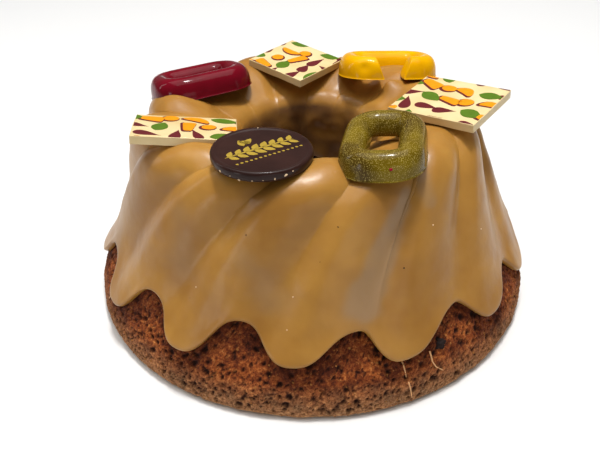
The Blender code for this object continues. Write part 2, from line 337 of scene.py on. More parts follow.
def make_glaze():
    """Caramel chocolate glaze, poured and set: smooth satin gloss, clouded a little in tone."""
    m, shader = new_material("poured_caramel_glaze")
    at = add(m, "TexCoord").outputs["Object"]
    clouds = add(m, "TexNoise", {"Vector": at, "Scale": 45.0, "Detail": 3.0, "Roughness": 0.5})
    tone = toned(m, clouds.outputs["Fac"], (0.35, "95672A"), (0.65, "AA7B36"))
    names = ("cloud_and_reflection", "thin")
    cloud_and_reflection, thin = (add(m, "Attribute", attribute_name=n).outputs["Fac"] for n in names)
    # Greyish patches: painted grey reflection over some real clouding of the glaze; and painted shade
    # on the hole's wall, where the glaze is thin over the sponge.
    clouded_and_reflecting = blend(m, cloud_and_reflection, tone, "93785A")
    thin_and_shaded = blend(m, thin, clouded_and_reflecting, "5C3E26")
    link(m, thin_and_shaded, shader.inputs["Base Color"])
    ripple = add(m, "TexNoise", {"Vector": at, "Scale": 160.0, "Detail": 2.0, "Roughness": 0.5})
    roughen(m, shader, ripple.outputs["Fac"], 0.12, 0.002)
    shader.inputs["Roughness"].default_value = 0.32
    shader.inputs["IOR"].default_value = 1.46
    shader.inputs["Specular IOR Level"].default_value = 0.35
    shader.inputs["Subsurface Weight"].default_value = 0.12
    shader.inputs["Subsurface Radius"].default_value = (1.0, 0.55, 0.25)
    shader.inputs["Subsurface Scale"].default_value = 0.003
    return m


def make_coloured_chocolate(name, light, dark, roughness, shine, speckle=None):
    """Moulded coloured chocolate with the mould's polish: even tone and crisp small highlights."""
    m, shader = new_material(name)
    at = add(m, "TexCoord").outputs["Object"]
    tone = add(m, "TexNoise", {"Vector": at, "Scale": 70.0, "Detail": 2.0})
    out = toned(m, tone.outputs["Fac"], (0.35, dark), (0.65, light))
    if speckle:
        # Gold dust grains are 0.05 mm; drawn at 0.4 mm so that they show.
        grains = add(m, "TexVoronoi", {"Vector": at, "Scale": 2600.0})
        dust = toned(m, grains.outputs["Distance"], (0.12, "FFFFFF"), (0.4, "000000"))
        thin = add(m, "TexNoise", {"Vector": at, "Scale": 900.0, "Detail": 1.0})
        share = add(m, "Math", {0: dust, 1: thin.outputs["Fac"]}, operation="MULTIPLY")
        out = blend(m, share.outputs[0], out, speckle)
    link(m, out, shader.inputs["Base Color"])
    ripple = add(m, "TexNoise", {"Vector": at, "Scale": 260.0, "Detail": 1.0})
    roughen(m, shader, ripple.outputs["Fac"], 0.1, 0.001)
    shader.inputs["Roughness"].default_value = roughness
    shader.inputs["IOR"].default_value = 1.47
    shader.inputs["Specular IOR Level"].default_value = shine
    shader.inputs["Coat Weight"].default_value = 0.1
    shader.inputs["Coat Roughness"].default_value = 0.06
    return m


def make_plain(name, base, roughness, metallic=0.0):
    """A thin even layer: cocoa-butter ink, gold powder ink, sugar thread or crumb."""
    m, shader = new_material(name)
    at = add(m, "TexCoord").outputs["Object"]
    tone = add(m, "TexNoise", {"Vector": at, "Scale": 500.0, "Detail": 2.0})
    value = add(m, "MapRange", {"Value": tone.outputs["Fac"], "To Min": 0.8, "To Max": 1.2})
    shade = add(m, "HueSaturation", {"Color": base, "Value": value.outputs["Result"]})
    link(m, shade.outputs["Color"], shader.inputs["Base Color"])
    shader.inputs["Roughness"].default_value = roughness
    shader.inputs["Specular IOR Level"].default_value = 0.2
    shader.inputs["Metallic"].default_value = metallic
    return m


# Shared shape tools


def object_of(name, bm, materials, smooth=True):
    mesh = bpy.data.meshes.new(name)
    bm.to_mesh(mesh)
    bm.free()
    for material in materials:
        mesh.materials.append(material)
    for face in mesh.polygons:
        face.use_smooth = smooth
    obj = bpy.data.objects.new(name, mesh)
    bpy.context.scene.collection.objects.link(obj)
    return obj


def carry(obj, slot=None, node=None):
    """Every piece rides on the cake; for one that stands for a CAD node, that node's CAD part is
    hidden.
    """
    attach(obj, "root")
    if node:
        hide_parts(node)
    return obj


def apply_modifiers(obj):
    graph = bpy.context.evaluated_depsgraph_get()
    made = bpy.data.meshes.new_from_object(obj.evaluated_get(graph), depsgraph=graph)
    obj.modifiers.clear()
    made.name = obj.name
    obj.data = made
    for face in made.polygons:
        face.use_smooth = True
    return obj


# Three places far enough apart in the noise that the parts of a drift don't follow each other.
DRIFT_STARTS = (Vector((9.3, -1.5, -8.0)), Vector((0.0, 0.0, 0.0)), Vector((6.3, 11.1, -3.2)))


def drift(point):
    """A smooth push in all three directions. It is the same in every run, which the values of
    noise_vector aren't."""
    return Vector([noise.noise(point + start) for start in DRIFT_STARTS])


def section_row(station):
    """Radius, height, twist and depth at a station, on a curve through the rows of SECTION."""
    station = min(max(station, 0.0), LAST_STATION)
    i = min(int(station), len(SECTION) - 2)
    t = station - i
    rows = [SECTION[min(max(i + k, 0), len(SECTION) - 1)] for k in (-1, 0, 1, 2)]
    weights = (
        (-t + 2 * t * t - t * t * t) / 2,
        (2 - 5 * t * t + 3 * t * t * t) / 2,
        (t + 4 * t * t - 3 * t * t * t) / 2,
        (t * t * t - t * t) / 2,
    )
    return [sum(w * row[k] for w, row in zip(weights, rows)) for k in range(4)]


# Rows of the fine table for each row of SECTION, and the small step that finds a direction.
PER_STATION = 50
SMALL_STEP = 0.02


def make_section_table():
    """The section at fine steps, with its direction, so that the many points are quick to place."""
    table = []
    for k in range(int(LAST_STATION * PER_STATION) + 2):
        station = k / PER_STATION
        row = section_row(station)
        before, after = section_row(station - SMALL_STEP), section_row(station + SMALL_STEP)
        along = Vector((after[0] - before[0], after[1] - before[1])).normalized()
        table.append((*row, along.x, along.y))
    return table


SECTION_TABLE = make_section_table()


def on_section(station):
    place = min(max(station, 0.0), LAST_STATION) * PER_STATION
    k = int(place)
    rest = place - k
    return [a + (b - a) * rest for a, b in zip(SECTION_TABLE[k], SECTION_TABLE[k + 1])]


def flute_angle(turn):
    """Angle in degrees of a place round the cake, counted in flutes."""
    k = math.floor(turn)
    rest = turn - k
    first = FLUTES[k % len(FLUTES)][0] + 360.0 * (k // len(FLUTES))
    after = FLUTES[(k + 1) % len(FLUTES)][0] + 360.0 * ((k + 1) // len(FLUTES))
    return first + (after - first) * rest


def valley_weight(turn):
    return abs(math.sin(math.pi * (turn % 1.0) ** VALLEY_SKEW)) ** VALLEY_SHARPNESS


def sponge_point(turn, station):
    radius, height, twist, depth, along_r, along_z = on_section(station)
    depth *= valley_weight(turn)
    angle = math.radians(flute_angle(turn) + twist)
    more, extra, middle, spread, side = FULLNESS
    more += extra * max(0.0, math.cos(angle - math.radians(side))) ** 2
    more *= math.exp(-(((height - middle) / spread) ** 2)) * (radius / 62.0) ** 3
    radius += more - along_z * depth
    height = max(height + along_r * depth, 0.0)
    height *= 1.0 - BACK_DROP * (0.5 - 0.5 * math.cos(angle))
    return Vector((radius * math.sin(angle), -radius * math.cos(angle), height)) * MM


def sponge_frame(turn, station):
    """A point of the sponge's skin, its outward normal and the way down to its foot."""
    point = sponge_point(turn, station)
    around = sponge_point(turn + SMALL_STEP, station) - sponge_point(turn - SMALL_STEP, station)
    low, high = max(station - SMALL_STEP, 0.0), min(station + SMALL_STEP, LAST_STATION)
    along = sponge_point(turn, high) - sponge_point(turn, low)
    return point, around.cross(along).normalized(), -along.normalized()


def lobed_edge(angle):
    """The station of the glaze's lower edge at an angle in degrees: round tips, round arches."""
    marks = []
    for _, tip, low, arch, high, _ in FLUTES:
        marks += [(tip, low), (arch, high)]
    first = marks[0][0]
    angle = first + (angle - first) % 360.0
    marks.append((first + 360.0, marks[0][1]))
    i = max(k for k in range(len(marks) - 1) if marks[k][0] <= angle)
    (start, here), (stop, there) = marks[i], marks[i + 1]
    swing = 0.5 + 0.5 * math.cos(math.pi * (angle - start) / (stop - start))
    tip, arch = (here, there) if i % 2 == 0 else (there, here)
    if i % 2:
        swing = 1.0 - swing
    full, steep = LOBE_FULLNESS
    swing += swing * (1.0 - swing) * (full + steep * (1.0 - 2.0 * swing))
    return arch + (tip - arch) * swing


# Finding the glaze's edge: the first guess, the number of rounds and the share gone each time.
EDGE_GUESS, EDGE_ROUNDS, EDGE_SHARE = 6.0, 24, 0.6


def glaze_ends(turn):
    """The stations where the glaze stops on the outside and in the hole."""
    k = math.floor(turn)
    hole, after = FLUTES[k % len(FLUTES)][5], FLUTES[(k + 1) % len(FLUTES)][5]
    blend = 0.5 - 0.5 * math.cos(math.pi * (turn - k))
    edge = EDGE_GUESS
    # The flutes turn as they rise, so the place of the edge and its angle are found together.
    for _ in range(EDGE_ROUNDS):
        edge += EDGE_SHARE * (lobed_edge(flute_angle(turn) + on_section(edge)[2]) - edge)
    return edge, hole + (after - hole) * blend


def wrapped_grid(columns, rows, place):
    """A grid bent round the cake into a closed ring; place(turn, row) gives each corner's spot."""
    bm = bmesh.new()
    bmesh.ops.create_grid(bm, x_segments=columns, y_segments=rows, size=1.0)
    spots = {}
    for vert in bm.verts:
        i = round((vert.co.x + 1.0) / 2.0 * columns) % columns
        j = round((vert.co.y + 1.0) / 2.0 * rows) % rows
        if (i, j) not in spots:
            spots[i, j] = place(i * len(FLUTES) / columns, j)
        vert.co = spots[i, j]
    bmesh.ops.remove_doubles(bm, verts=bm.verts, dist=1e-7)
    bmesh.ops.recalc_face_normals(bm, faces=bm.faces)
    return bm


# Sponge

SPONGE_COLUMNS = 1240
BAND_ROWS, COVERED_ROWS, HOLE_ROWS = 54, 9, 16

# Pores of the crumb: spacing mm, radius as a share of the spacing, depth mm.
PORES = ((4.6, 0.32, 1.2), (2.6, 0.36, 0.8), (1.4, 0.34, 0.4))
PORE_SOFTNESS = 2.2
# The crumb's soft lumps and its fine threads: spacing and height in mm.
CRUMB_LUMPS = (6.5, 0.3)
CRUMB_THREADS = (2.2, 0.25)
# The foot was against the tin, so it is closed and smoother up to here, and paler a little above:
# partly the crust's colour, partly painted light against the shade where the foot curves under.
CLOSED_BELOW = 4.0 * MM
PALER_BELOW, PALER_SHARE = 14 * MM, 0.6
# The painted shade reaches this far under the glaze's edge.
SHADE_BELOW_GLAZE_EDGE = 11 * MM
# How far the crumb's fine rows run on under the glaze, in stations.
UNDER_OUTER_EDGE, UNDER_HOLE_EDGE = 0.25, 0.2
# Past this height and this upward slope the sponge is out of sight and stays smooth.
COVERED_ABOVE, COVERED_SLOPE = 12 * MM, 0.75
FOOT_EDGE = 1.5 * MM


def crumb_at(point):
    """How far the crumb stands out at a point, in metres, and how far into a pore it lies, 0 to 1,
    which is painted dark as the pore's shade.
    """
    (lump_spacing, lump_height), (thread_spacing, thread_height) = CRUMB_LUMPS, CRUMB_THREADS
    lumps = noise.fractal(point / (lump_spacing * MM), 0.9, 2.0, 3)
    threads = noise.ridged_multi_fractal(point / (thread_spacing * MM), 0.8, 2.2, 4, 1.0, 2.0) - 1.1
    outside = point.xy.length > 60 * MM
    closed = max(0.0, 1.0 - point.z / CLOSED_BELOW) if outside else 0.0
    ragged = point + drift(point / (1.7 * MM)) * 0.6 * MM
    pore, depth = 0.0, 0.0
    for spacing, share, deepest in PORES:
        away = noise.voronoi(ragged / (spacing * MM) + Vector((0.0, 9.0, 0.0)))[0][0]
        opened = min(1.0, PORE_SOFTNESS * max(0.0, 1.0 - away / share)) * (1.0 - 0.7 * closed)
        pore, depth = max(pore, opened), max(depth, opened * deepest)
    out = (lump_height * lumps + thread_height * threads * (1.0 - 0.6 * closed) - depth) * MM
    return out, pore, closed


def glaze_edge_shade_at(point):
    """How much a point of the band is painted darker as shade under the glaze's lower edge, 0 to 1, by
    how near it is to that edge.
    """
    angle = math.degrees(math.atan2(point.x, -point.y))
    below = on_section(lobed_edge(angle))[1] * MM - point.z
    near = max(0.0, 1.0 - below / SHADE_BELOW_GLAZE_EDGE)
    return near * max(0.0, min(1.0, 0.75 + 0.8 * noise.noise(point / (7 * MM))))


def make_sponge():
    total = BAND_ROWS + COVERED_ROWS + HOLE_ROWS

    def station_of(turn, j):
        edge, hole = ends_at(turn)
        edge += UNDER_OUTER_EDGE
        hole -= UNDER_HOLE_EDGE
        if j <= BAND_ROWS:
            return edge * j / BAND_ROWS
        if j <= BAND_ROWS + COVERED_ROWS:
            share = (j - BAND_ROWS) / COVERED_ROWS
            return edge + (hole - edge) * share
        share = (j - BAND_ROWS - COVERED_ROWS) / (HOLE_ROWS - 1)
        return hole + (LAST_STATION - hole) * share

    def place(turn, j):
        return sponge_point(turn, station_of(turn, j))

    bm = wrapped_grid(SPONGE_COLUMNS, total, place)
    pores = bm.verts.layers.float.new("pore")
    crust_and_painted_light = bm.verts.layers.float.new("crust_and_painted_light")
    glaze_edge_shade = bm.verts.layers.float.new("glaze_edge_shade")
    bm.normal_update()
    moved = []
    for vert in bm.verts:
        if vert.co.z > COVERED_ABOVE and vert.normal.z > COVERED_SLOPE:
            continue
        out, pore, closed = crumb_at(vert.co)
        # Paler towards the foot: partly the crust's colour, partly painted light.
        paler = PALER_SHARE * max(0.0, 1.0 - vert.co.z / PALER_BELOW)
        vert[pores], vert[crust_and_painted_light], vert[glaze_edge_shade] = pore, max(closed, paler), glaze_edge_shade_at(vert.co)
        # The underside and its edge stay flat.
        free = min(1.0, vert.co.z / FOOT_EDGE) if vert.normal.z > -0.9 else 0.0
        moved.append((vert, vert.co + vert.normal * out * free))
    for vert, spot in moved:
        spot.z = max(spot.z, 0.0)
        vert.co = spot
    return carry(object_of("sponge_crumb", bm, [SPONGE]), "sponge", "sponge")


# Glaze

GLAZE_COLUMNS = 616
SKIN_ROWS, LIP_ROWS, BACK_ROWS = 96, 7, 16
BED_COLUMNS, BED_ROWS = 196, 44

# Lumps where the glaze met a decoration or ran thick, and shallow dents:
# x, y, z, spread in mm, height in mm.
LUMPS = (
    (-52.3, 3.9, 74.2, 5.0, 1.3),
    (-33.0, 14.0, 64.6, 6.0, 0.7),
    (35.2, 22.6, 70.0, 4.2, 3.4),
    (4.6, -47.9, 76.3, 5.0, 0.8),
    (-8.6, -61.4, 73.3, 4.5, 0.6),
    (42.3, -39.4, 76.0, 5.0, 0.5),
    (-12.0, -69.8, 45.5, 3.5, -0.35),
    (-20.2, -70.3, 44.1, 3.0, 0.3),
    (-7.0, -69.6, 48.7, 3.0, 0.3),
    (17.1, -66.2, 54.7, 3.5, -0.4),
    (12.0, -68.0, 50.0, 3.0, 0.3),
    (-61.6, -43.5, 41.4, 2.6, -0.7),
)
# Folds that run down the glaze: corners in mm, then half width and height in mm.
FOLDS = (
    (((21.3, -71.9, 38.3), (23.8, -68.3, 44.9), (26.6, -64.2, 51.8), (33.1, -55.6, 64.7)), 2.4, -0.25),
    (((35.5, 24.0, 70.5), (31.0, 19.0, 67.5), (27.5, 14.5, 64.0)), 1.8, 0.8),
    (((48.6, -59.5, 33.9), (51.4, -52.8, 42.0), (52.5, -46.8, 50.5), (51.8, -37.3, 63.8)), 1.0, 1.2),
    (((73.7, -32.4, 28.7), (73.0, -25.8, 35.8), (71.3, -20.5, 43.8), (68.3, -16.7, 51.6)), 1.0, 1.0),
)

# Greyish patches in the glaze, painted grey reflection over some real clouding: corners in mm, then
# half width in mm at either end, how sharp the edge is and how strong the patch.
# The grey stripe down this flank is painted reflection.
FRONT_GREY_REFLECTION = ((29.5, -54.0, 68.0), (26.4, -59.4, 60.8), (22.3, -65.3, 52.0), (16.0, -73.6, 38.2))
CLOUDS_AND_REFLECTIONS = (
    (FRONT_GREY_REFLECTION, 3.0, 6.6, 5.0, 0.7),
    (((-21.5, -68.3, 52.1), (-12.2, -72.9, 39.7)), 3.5, 5.0, 2.0, 0.36),
    (((-43.5, -53.2, 60.4), (-43.3, -56.9, 44.5)), 3.5, 5.5, 2.0, 0.3),
    (((38.6, -54.1, 65.6), (37.0, -50.1, 70.6)), 2.6, 2.6, 3.0, 0.5),
    (((-66.0, -27.0, 52.0), (-76.1, -24.0, 32.3)), 7.0, 8.0, 2.0, 0.35),
)

# The bead on each flute's ridge along the lower edge: its height, and its reach as a share of
# the way from the edge to the hole. Then the slow and the quick waves of the thickness.
BEAD_HEIGHT, BEAD_REACH = 0.35 * MM, 0.05
SLOW_WAVE, QUICK_WAVE = 0.26 * MM, 0.12 * MM
# Round the hole: how far out it reaches, the lip's radius, spread and height, and where the
# lumpy wall under the lip begins, over what height it fades in and how high its lumps are.
HOLE_REACH = 40 * MM
LIP_RADIUS, LIP_SPREAD, LIP_HEIGHT = 31.8 * MM, 2.4 * MM, 0.8 * MM
WALL_TOP, WALL_FADE, WALL_LUMP = 62.0 * MM, 5 * MM, 0.9 * MM
# The glaze is thin on the wall of the hole, inside this radius and under this height, and is painted
# darker there as shade.
THIN_SHADE_INSIDE, THIN_SHADE_BELOW, THIN_SHADE_FADE = 36 * MM, 64.0 * MM, 1.8 * MM


def from_path(point, corners):
    """How far a point is from a path of corners in mm, and how far along the path, 0 to 1."""
    best, where = 1.0, 0.0
    for k in range(len(corners) - 1):
        start, stop = Vector(corners[k]) * MM, Vector(corners[k + 1]) * MM
        run = stop - start
        t = max(0.0, min(1.0, (point - start).dot(run) / run.length_squared))
        away = (point - start - run * t).length
        if away < best:
            best, where = away, (k + t) / (len(corners) - 1)
    return best, where


def fold_height(point):
    """What the folds add at a point, in metres: each fades at both ends."""
    total = 0.0
    for corners, half, height in FOLDS:
        away, where = from_path(point, corners)
        away /= half * MM
        if away < 6.0:
            fade = min(1.0, 6.0 * where, 6.0 * (1.0 - where))
            total += height * MM * fade * math.exp(-0.35 * away * away)
    return total


# How grey a point is painted: painted reflection, over some real clouding of the glaze.
def cloud_and_reflection_at(point):
    total = 0.0
    ragged = point + drift(point / (5 * MM)) * 1.2 * MM
    for corners, first, last, sharp, strength in CLOUDS_AND_REFLECTIONS:
        away, where = from_path(ragged, corners)
        reach = (first + (last - first) * where) * MM
        outside = min(away / reach - 1.0, 9.0)
        total = max(total, strength / (1.0 + math.exp(2.0 * sharp * outside)))
    return total


def thin_and_shaded_at(point):
    """How much the hole's wall is painted darker, 0 to 1, in patches: painted shade in the hole, where
    the glaze is also thin.
    """
    if point.xy.length > THIN_SHADE_INSIDE:
        return 0.0
    under = max(0.0, min(1.0, (THIN_SHADE_BELOW - point.z) / THIN_SHADE_FADE))
    patch = 0.7 + 0.7 * noise.noise(point / (8 * MM) + Vector((4.0, 4.0, 1.0)))
    return under * max(0.0, min(1.0, patch))


def glaze_rise(turn, part, point):
    """Thickness of the glaze over the sponge at a place, in metres."""
    fill = GLAZE_VALLEY_FILL + FULLER_VALLEYS.get(math.floor(turn) % len(FLUTES), 0.0)
    thickness = GLAZE_THICKNESS + fill * valley_weight(turn)
    ridge = 1.0 - valley_weight(turn)
    thickness += BEAD_HEIGHT * ridge * math.exp(-((part / BEAD_REACH) ** 2))
    thickness += SLOW_WAVE * noise.noise(point / (12 * MM))
    thickness += QUICK_WAVE * noise.noise(point / (5 * MM) + Vector((8.0, 2.0, 4.0)))
    for x, y, z, spread, height in LUMPS:
        away = (point - Vector((x, y, z)) * MM).length / (spread * MM)
        if away < 3.0:
            thickness += height * MM * math.exp(-(away**2))
    if point.xy.length < HOLE_REACH:
        # A lip round the hole, and the lumpy wall under it.
        from_lip = (point.xy.length - LIP_RADIUS) / LIP_SPREAD
        thickness += LIP_HEIGHT * math.exp(-(from_lip**2))
        squat = Vector((point.x, point.y, 1.7 * point.z))
        under = max(0.0, min(1.0, (WALL_TOP - point.z) / WALL_FADE))
        thickness += WALL_LUMP * under * noise.noise(squat / (7 * MM))
    return thickness + fold_height(point)


ENDS = {}


def ends_at(turn):
    if turn not in ENDS:
        ENDS[turn] = glaze_ends(turn)
    return ENDS[turn]


def glaze_skin(turn, part):
    edge, hole = ends_at(turn)
    point, normal, down = sponge_frame(turn, edge + (hole - edge) * part)
    return point, normal, down, glaze_rise(turn, part, point)


def make_glaze_coat():
    turns = [math.pi * (k + 1) / (LIP_ROWS + 1) for k in range(LIP_ROWS)]
    rows = [(k / (SKIN_ROWS - 1), 1.0, 0.0) for k in range(SKIN_ROWS)]
    rows += [(1.0, 0.5 + 0.5 * math.cos(t), -math.sin(t)) for t in turns]
    rows += [(1.0 - k / (BACK_ROWS - 1), 0.0, 0.0) for k in range(BACK_ROWS)]
    rows += [(0.0, 0.5 - 0.5 * math.cos(t), math.sin(t)) for t in turns]
    known = {}

    def place(turn, j):
        part, share, lip = rows[j]
        if share == 0.0 and 0.0 < part < 1.0:
            edge, hole = ends_at(turn)
            point, normal, _ = sponge_frame(turn, edge + (hole - edge) * part)
            return point + normal * GLAZE_GAP
        if (turn, part) not in known:
            known[turn, part] = glaze_skin(turn, part)
        point, normal, down, rise = known[turn, part]
        offset = GLAZE_GAP + (rise - GLAZE_GAP) * share
        return point + normal * offset + down * lip * GLAZE_LIP

    bm = wrapped_grid(GLAZE_COLUMNS, len(rows), place)
    # Per point: painted grey reflection over some real clouding, and painted shade on the hole's wall
    # where the glaze is thin.
    cloud_and_reflection = bm.verts.layers.float.new("cloud_and_reflection")
    thin = bm.verts.layers.float.new("thin")
    for vert in bm.verts:
        vert[cloud_and_reflection], vert[thin] = cloud_and_reflection_at(vert.co), thin_and_shaded_at(vert.co)
    return carry(object_of("glaze_coat", bm, [GLAZE]), "glaze", "glaze")


def make_bed():
    """The glaze's surface a little way in: what lies under it is cut off each decoration."""

    def place(turn, j):
        point, normal, _, rise = glaze_skin(turn, j / (BED_ROWS - 1))
        return point + normal * (rise - PRESSED_IN)

    return object_of("bed", wrapped_grid(BED_COLUMNS, BED_ROWS, place), [])


# Decorations


def spot_of(name):
    x, y, z, turn, tilt_x, tilt_y = PLACES[name]
    rotation = Matrix.Rotation(math.radians(tilt_y), 4, "Y")
    rotation @= Matrix.Rotation(math.radians(tilt_x), 4, "X")
    rotation @= Matrix.Rotation(math.radians(turn), 4, "Z")
    return Matrix.Translation(Vector((x, y, z)) * MM) @ rotation


def press(obj, name, bed):
    obj.data.transform(spot_of(name))
    cut = obj.modifiers.new("pressed in", "BOOLEAN")
    cut.operation = "DIFFERENCE"
    cut.solver = "MANIFOLD"
    cut.object = bed
    return apply_modifiers(obj)


# Section of a moulded link from its outer foot over the top to its inner foot: share of the
# bar's width inwards, share of the height up.
LINK_PROFILE = (
    (-0.035, 0.0),
    (-0.035, 0.03),
    (0.0, 0.05),
    (0.0, 0.3),
    (0.05, 0.62),
    (0.19, 0.88),
    (0.42, 1.0),
    (0.68, 0.95),
    (0.88, 0.74),
    (0.97, 0.4),
    (1.0, 0.0),
)


def link_mesh(gap=0.0):
    """Half a link by extruding and spinning its section, then its mirror image."""
    bm = bmesh.new()
    front = -LINK_WIDTH / 2
    side = LINK_LENGTH / 2 - LINK_CORNER
    spots = []
    for inward, up in LINK_PROFILE:
        away = gap / 2 + BREAK_LEAN * up * LINK_HEIGHT if gap else 0.0
        spots.append(bm.verts.new((away, front + inward * LINK_BAR, up * LINK_HEIGHT)))
    ends = [bm.edges.new(pair) for pair in zip(spots, spots[1:] + spots[:1])]

    def push(edges, x, y):
        made = bmesh.ops.extrude_edge_only(bm, edges=edges)["geom"]
        verts = [g for g in made if isinstance(g, bmesh.types.BMVert)]
        bmesh.ops.translate(bm, vec=(x, y, 0.0), verts=verts)
        return [g for g in made if isinstance(g, bmesh.types.BMEdge)]

    def bend(edges, y):
        verts = list({v for e in edges for v in e.verts})
        made = bmesh.ops.spin(
            bm,
            geom=verts + edges,
            cent=(side, y, 0.0),
            axis=(0.0, 0.0, 1.0),
            angle=math.pi / 2,
            steps=6,
        )["geom_last"]
        return [g for g in made if isinstance(g, bmesh.types.BMEdge)]

    last = ends
    if gap:
        # A loop close behind the broken end keeps its edge crisp.
        last = push(last, 0.6 * MM, 0.0)
    last = push(last, side - gap / 2, 0.0)
    for vert in {v for e in last for v in e.verts}:
        vert.co.x = side
    last = bend(last, LINK_CORNER - LINK_WIDTH / 2)
    last = push(last, 0.0, LINK_WIDTH - 2 * LINK_CORNER)
    last = bend(last, LINK_WIDTH / 2 - LINK_CORNER)
    push(last, -side, 0.0)
    bmesh.ops.remove_doubles(bm, verts=bm.verts, dist=1e-6)
    bmesh.ops.mirror(bm, geom=bm.verts[:] + bm.edges[:] + bm.faces[:], axis="X", merge_dist=1e-6)
    if gap:
        bmesh.ops.holes_fill(bm, edges=bm.edges, sides=0)
    bmesh.ops.recalc_face_normals(bm, faces=bm.faces)
    return bm


# A thumb dent in the near bar of the broken link: x, y, z, spread and depth in mm.
DENT = (-12.2, -13.8, 4.8, 2.4, 0.9)


def make_link(name, material, bed, gap=0.0):
    obj = object_of(name + "_piece", link_mesh(gap), [material])
    rounded = obj.modifiers.new("rounded", "SUBSURF")
    rounded.levels = rounded.render_levels = 3
    apply_modifiers(obj)
    if gap:
        middle, spread, depth = Vector(DENT[:3]) * MM, DENT[3] * MM, DENT[4] * MM
        for vert in obj.data.vertices:
            away = (vert.co - middle).length / spread
            vert.co.y += depth * math.exp(-(away**2))
    return carry(press(obj, name, bed), name, name)


RING_STEP, RING_HEIGHT = 0.45 * MM, 0.022 * MM


def make_disc(bed):
    """A poured disc: a rounded rim that stands a little above the face."""
    r, t = DISC_RADIUS, DISC_THICKNESS
    inner, low = r - DISC_RIM, t - DISC_SUNK
    profile = (
        (0.0, 0.0),
        (r - 1.0 * MM, 0.0),
        (r - 0.2 * MM, 0.5 * MM),
        (r, 1.5 * MM),
        (r, t - 0.9 * MM),
        (r - 0.35 * MM, t - 0.15 * MM),
        (r - 1.0 * MM, t),
        (r - 1.7 * MM, t - 0.2 * MM),
        (inner, low),
    )
    # Faint rings in the face, where the poured chocolate was spun out.
    rings = range(1, int(inner / RING_STEP))
    face = [(inner - k * RING_STEP, low + RING_HEIGHT * (k % 2)) for k in rings]
    bm = bmesh.new()
    spots = [bm.verts.new((x, 0.0, z)) for x, z in (*profile, *face, (0.0, low))]
    edges = [bm.edges.new(pair) for pair in zip(spots, spots[1:])]
    bmesh.ops.spin(
        bm,
        geom=spots + edges,
        axis=(0.0, 0.0, 1.0),
        cent=(0.0, 0.0, 0.0),
        angle=2 * math.pi,
        steps=128,
        use_merge=True,
    )
    bmesh.ops.remove_doubles(bm, verts=bm.verts, dist=1e-7)
    bmesh.ops.recalc_face_normals(bm, faces=bm.faces)
    obj = object_of("disc_piece", bm, [DARK])
    return carry(press(obj, "disc", bed), "disc", "disc")


def make_plaque(name, bed):
    bm = bmesh.new()
    bmesh.ops.create_cube(bm, size=1.0)
    bmesh.ops.scale(bm, vec=(*PLAQUE_SIDES[name], PLAQUE_THICKNESS), verts=bm.verts)
    bmesh.ops.translate(bm, vec=(0.0, 0.0, PLAQUE_THICKNESS / 2), verts=bm.verts)
    bmesh.ops.subdivide_edges(bm, edges=bm.edges, cuts=11, use_grid_fill=True)
    for vert in bm.verts:
        wave = noise.noise(vert.co / (6 * MM) + Vector((len(name), 0.0, 0.0)))
        flat = vert.co.z > PLAQUE_THICKNESS * 0.99
        vert.co += Vector((0.22, 0.22, 0.0 if flat else 0.1)) * wave * MM
    sharp = [e for e in bm.edges if len(e.link_faces) == 2 and e.calc_face_angle() > 0.9]
    bmesh.ops.bevel(
        bm,
        geom=sharp,
        offset=0.3 * MM,
        offset_type="OFFSET",
        segments=3,
        profile=0.5,
        affect="EDGES",
        material=-1,
        clamp_overlap=True,
    )
    obj = object_of(name + "_piece", bm, [CREAM])
    return carry(press(obj, name, bed), name, name)


# Printed and scattered detail

# The inks stand this high for level 1, and reach this far down into the chocolate.
INK_HEIGHT = 0.07 * MM
INK_DEPTH = 0.2 * MM
# The print's motifs stand this far apart, and stop this far from a plaque's sides.
PRINT_STEP = 8.4 * MM
PRINT_MARGIN = 0.25 * MM


def motif(bm, kind, place, length, width, level, ink, turn=0.0):
    """One inked shape, as a thin raised patch. Length and width in metres."""
    made = bmesh.ops.create_circle(bm, cap_ends=True, radius=1.0, segments=28)
    verts = made["verts"]
    for vert in verts:
        x, y = vert.co.xy
        if kind == "leaf":
            y *= abs(y) ** 0.7 * (1.15 - 0.25 * x)
        elif kind == "bean":
            y = 0.8 * y - 0.55 * x * x + 0.25
        elif kind == "wedge":
            y *= 0.5 - 0.5 * x
        elif kind == "block":
            x, y = (math.copysign(abs(x) ** 0.35, x), math.copysign(abs(y) ** 0.35, y))
            y *= 0.8 + 0.2 * x
        vert.co = Vector((x * length / 2, y * width / 2, 0.0))
    faces = list({face for vert in verts for face in vert.link_faces})
    for face in faces:
        face.material_index = ink
    grown = bmesh.ops.extrude_face_region(bm, geom=faces)["geom"]
    top = [g for g in grown if isinstance(g, bmesh.types.BMVert)]
    bmesh.ops.translate(bm, vec=(0.0, 0.0, INK_DEPTH), verts=top)
    verts = verts + top
    spin = Matrix.Rotation(turn, 4, "Z")
    lift = Vector((place[0], place[1], INK_HEIGHT * level - INK_DEPTH))
    bmesh.ops.transform(bm, matrix=Matrix.Translation(lift) @ spin, verts=verts)


def trimmed(bm, half_x, half_y):
    """Cuts the print off at the plaque's four sides and closes the cuts."""
    for normal in ((1, 0, 0), (-1, 0, 0), (0, 1, 0), (0, -1, 0)):
        reach = Vector(normal) * (half_x if normal[0] else half_y)
        geom = bm.verts[:] + bm.edges[:] + bm.faces[:]
        bmesh.ops.bisect_plane(bm, geom=geom, plane_co=reach, plane_no=normal, clear_outer=True)
        open_edges = [edge for edge in bm.edges if edge.is_boundary]
        bmesh.ops.holes_fill(bm, edges=open_edges, sides=0)
    bmesh.ops.triangulate(bm, faces=bm.faces)


